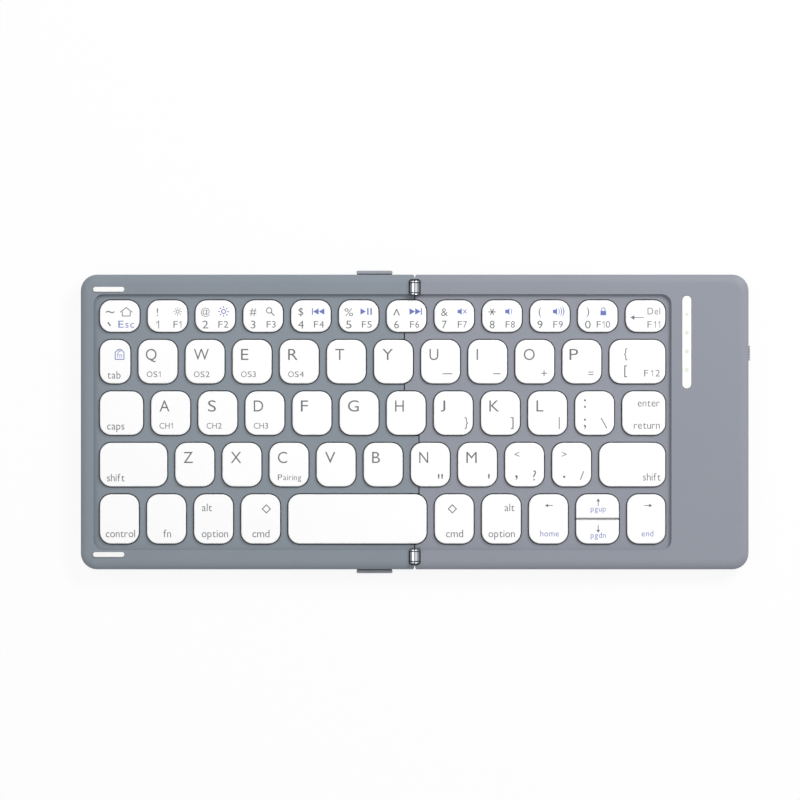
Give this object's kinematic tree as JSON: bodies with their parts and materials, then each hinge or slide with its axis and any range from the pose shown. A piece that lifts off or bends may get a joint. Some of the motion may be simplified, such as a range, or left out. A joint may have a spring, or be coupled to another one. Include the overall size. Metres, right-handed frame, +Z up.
{
  "type": "folding keyboard",
  "caption": "Slim two-part folding keyboard with interlocking key decks, knuckle hinges, sliding hinge locks, low-travel keys and a side power switch.",
  "frame": {"origin": "on the table under the fold axis, midway front to back, with the keyboard lying open on its feet", "axes": "+X to the user's right along the keyboard, +Y to the rear, away from the user, +Z up out of the keys"},
  "size_m": [0.2472, 0.1118, 0.0107],
  "materials": {
    "cover": "satin moulded plastic",
    "keycap": "fine matte",
    "key_support": "as moulded",
    "steel_plate": "rolled",
    "membrane": "translucent film",
    "hinge_chrome": "polished",
    "pin_steel": "turned",
    "foot_rubber": "matte",
    "bumper_rubber": "smooth",
    "battery_wrap": "foil wrap",
    "circuit_board": "solder mask",
    "dark_plastic": "fine grain",
    "tab_plastic": "satin moulded plastic",
    "window_plastic": "satin diffuser",
    "ribbon": "polyimide film"
  },
  "bodies": {
    "right_half": {"right_top_cover": "cover", "right_bottom_cover": "cover", "right_switch_plate": "steel_plate", "right_membrane": "membrane", "right_key_supports": "key_support", "right_hinge_leaves": "hinge_chrome", "hinge_pins": "pin_steel", "right_screws": "pin_steel", "right_feet": "foot_rubber", "battery": "battery_wrap", "main_board": "circuit_board", "charging_socket": "hinge_chrome", "power_switch": "dark_plastic", "status_window": "window_plastic", "status_lights": "circuit_board", "link_cable": "ribbon"},
    "left_half": {"left_top_cover": "cover", "left_bottom_cover": "cover", "left_switch_plate": "steel_plate", "left_membrane": "membrane", "left_key_supports": "key_support", "left_hinge_leaves": "hinge_chrome", "left_screws": "pin_steel", "left_feet": "foot_rubber", "left_bumpers": "bumper_rubber"},
    "power_knob": {"power_knob": "dark_plastic"},
    "rear_lock": {"rear_lock": "tab_plastic"},
    "front_lock": {"front_lock": "tab_plastic"},
    "number_keys_left": {"number_keys_left": "keycap"},
    "number_keys_right": {"number_keys_right": "keycap"},
    "side_keys_left": {"side_keys_left": "keycap"},
    "side_keys_right": {"side_keys_right": "keycap"},
    "space_key": {"space_key": "keycap"},
    "enter_key": {"enter_key": "keycap"},
    "key_q": {"key_q": "keycap"},
    "key_w": {"key_w": "keycap"},
    "key_e": {"key_e": "keycap"},
    "key_r": {"key_r": "keycap"},
    "key_t": {"key_t": "keycap"},
    "key_y": {"key_y": "keycap"},
    "key_u": {"key_u": "keycap"},
    "key_i": {"key_i": "keycap"},
    "key_o": {"key_o": "keycap"},
    "key_p": {"key_p": "keycap"},
    "key_a": {"key_a": "keycap"},
    "key_s": {"key_s": "keycap"},
    "key_d": {"key_d": "keycap"},
    "key_f": {"key_f": "keycap"},
    "key_g": {"key_g": "keycap"},
    "key_h": {"key_h": "keycap"},
    "key_j": {"key_j": "keycap"},
    "key_k": {"key_k": "keycap"},
    "key_l": {"key_l": "keycap"},
    "key_z": {"key_z": "keycap"},
    "key_x": {"key_x": "keycap"},
    "key_c": {"key_c": "keycap"},
    "key_v": {"key_v": "keycap"},
    "key_b": {"key_b": "keycap"},
    "key_n": {"key_n": "keycap"},
    "key_m": {"key_m": "keycap"}
  },
  "joints": [
    {"name": "fold", "type": "hinge", "parent": "right_half", "child": "left_half", "pos_m": [0, 0, 0.0089], "axis": [0, 1, 0], "range_deg": [0, 180], "deforming": ["link_cable"]},
    {"name": "power_slide", "type": "slide", "parent": "right_half", "child": "power_knob", "axis": [0, -1, 0], "range_m": [0, 0.002]},
    {"name": "rear_lock_slide", "type": "slide", "parent": "left_half", "child": "rear_lock", "axis": [1, 0, 0], "range_m": [0, 0.004]},
    {"name": "front_lock_slide", "type": "slide", "parent": "left_half", "child": "front_lock", "axis": [1, 0, 0], "range_m": [0, 0.004]},
    {"name": "press_number_keys_left", "type": "slide", "parent": "left_half", "child": "number_keys_left", "axis": [0, 0, -1], "range_m": [0, 0.0015], "stiffness_N_per_m": 2400, "deforming": ["left_key_supports"]},
    {"name": "press_number_keys_right", "type": "slide", "parent": "right_half", "child": "number_keys_right", "axis": [0, 0, -1], "range_m": [0, 0.0015], "stiffness_N_per_m": 2400, "deforming": ["right_key_supports"]},
    {"name": "press_side_keys_left", "type": "slide", "parent": "left_half", "child": "side_keys_left", "axis": [0, 0, -1], "range_m": [0, 0.0015], "stiffness_N_per_m": 2400},
    {"name": "press_side_keys_right", "type": "slide", "parent": "right_half", "child": "side_keys_right", "axis": [0, 0, -1], "range_m": [0, 0.0015], "stiffness_N_per_m": 2400},
    {"name": "press_space_key", "type": "slide", "parent": "left_half", "child": "space_key", "axis": [0, 0, -1], "range_m": [0, 0.0015], "stiffness_N_per_m": 600},
    {"name": "press_enter_key", "type": "slide", "parent": "right_half", "child": "enter_key", "axis": [0, 0, -1], "range_m": [0, 0.0015], "stiffness_N_per_m": 400},
    {"name": "press_q", "type": "slide", "parent": "left_half", "child": "key_q", "axis": [0, 0, -1], "range_m": [0, 0.0015], "stiffness_N_per_m": 400},
    {"name": "press_w", "type": "slide", "parent": "left_half", "child": "key_w", "axis": [0, 0, -1], "range_m": [0, 0.0015], "stiffness_N_per_m": 400},
    {"name": "press_e", "type": "slide", "parent": "left_half", "child": "key_e", "axis": [0, 0, -1], "range_m": [0, 0.0015], "stiffness_N_per_m": 400},
    {"name": "press_r", "type": "slide", "parent": "left_half", "child": "key_r", "axis": [0, 0, -1], "range_m": [0, 0.0015], "stiffness_N_per_m": 400},
    {"name": "press_t", "type": "slide", "parent": "left_half", "child": "key_t", "axis": [0, 0, -1], "range_m": [0, 0.0015], "stiffness_N_per_m": 400},
    {"name": "press_y", "type": "slide", "parent": "left_half", "child": "key_y", "axis": [0, 0, -1], "range_m": [0, 0.0015], "stiffness_N_per_m": 400},
    {"name": "press_u", "type": "slide", "parent": "right_half", "child": "key_u", "axis": [0, 0, -1], "range_m": [0, 0.0015], "stiffness_N_per_m": 400},
    {"name": "press_i", "type": "slide", "parent": "right_half", "child": "key_i", "axis": [0, 0, -1], "range_m": [0, 0.0015], "stiffness_N_per_m": 400},
    {"name": "press_o", "type": "slide", "parent": "right_half", "child": "key_o", "axis": [0, 0, -1], "range_m": [0, 0.0015], "stiffness_N_per_m": 400},
    {"name": "press_p", "type": "slide", "parent": "right_half", "child": "key_p", "axis": [0, 0, -1], "range_m": [0, 0.0015], "stiffness_N_per_m": 400},
    {"name": "press_a", "type": "slide", "parent": "left_half", "child": "key_a", "axis": [0, 0, -1], "range_m": [0, 0.0015], "stiffness_N_per_m": 400},
    {"name": "press_s", "type": "slide", "parent": "left_half", "child": "key_s", "axis": [0, 0, -1], "range_m": [0, 0.0015], "stiffness_N_per_m": 400},
    {"name": "press_d", "type": "slide", "parent": "left_half", "child": "key_d", "axis": [0, 0, -1], "range_m": [0, 0.0015], "stiffness_N_per_m": 400},
    {"name": "press_f", "type": "slide", "parent": "left_half", "child": "key_f", "axis": [0, 0, -1], "range_m": [0, 0.0015], "stiffness_N_per_m": 400},
    {"name": "press_g", "type": "slide", "parent": "left_half", "child": "key_g", "axis": [0, 0, -1], "range_m": [0, 0.0015], "stiffness_N_per_m": 400},
    {"name": "press_h", "type": "slide", "parent": "left_half", "child": "key_h", "axis": [0, 0, -1], "range_m": [0, 0.0015], "stiffness_N_per_m": 400},
    {"name": "press_j", "type": "slide", "parent": "right_half", "child": "key_j", "axis": [0, 0, -1], "range_m": [0, 0.0015], "stiffness_N_per_m": 400},
    {"name": "press_k", "type": "slide", "parent": "right_half", "child": "key_k", "axis": [0, 0, -1], "range_m": [0, 0.0015], "stiffness_N_per_m": 400},
    {"name": "press_l", "type": "slide", "parent": "right_half", "child": "key_l", "axis": [0, 0, -1], "range_m": [0, 0.0015], "stiffness_N_per_m": 400},
    {"name": "press_z", "type": "slide", "parent": "left_half", "child": "key_z", "axis": [0, 0, -1], "range_m": [0, 0.0015], "stiffness_N_per_m": 400},
    {"name": "press_x", "type": "slide", "parent": "left_half", "child": "key_x", "axis": [0, 0, -1], "range_m": [0, 0.0015], "stiffness_N_per_m": 400},
    {"name": "press_c", "type": "slide", "parent": "left_half", "child": "key_c", "axis": [0, 0, -1], "range_m": [0, 0.0015], "stiffness_N_per_m": 400},
    {"name": "press_v", "type": "slide", "parent": "left_half", "child": "key_v", "axis": [0, 0, -1], "range_m": [0, 0.0015], "stiffness_N_per_m": 400},
    {"name": "press_b", "type": "slide", "parent": "left_half", "child": "key_b", "axis": [0, 0, -1], "range_m": [0, 0.0015], "stiffness_N_per_m": 400},
    {"name": "press_n", "type": "slide", "parent": "right_half", "child": "key_n", "axis": [0, 0, -1], "range_m": [0, 0.0015], "stiffness_N_per_m": 400},
    {"name": "press_m", "type": "slide", "parent": "right_half", "child": "key_m", "axis": [0, 0, -1], "range_m": [0, 0.0015], "stiffness_N_per_m": 400}
  ]
}
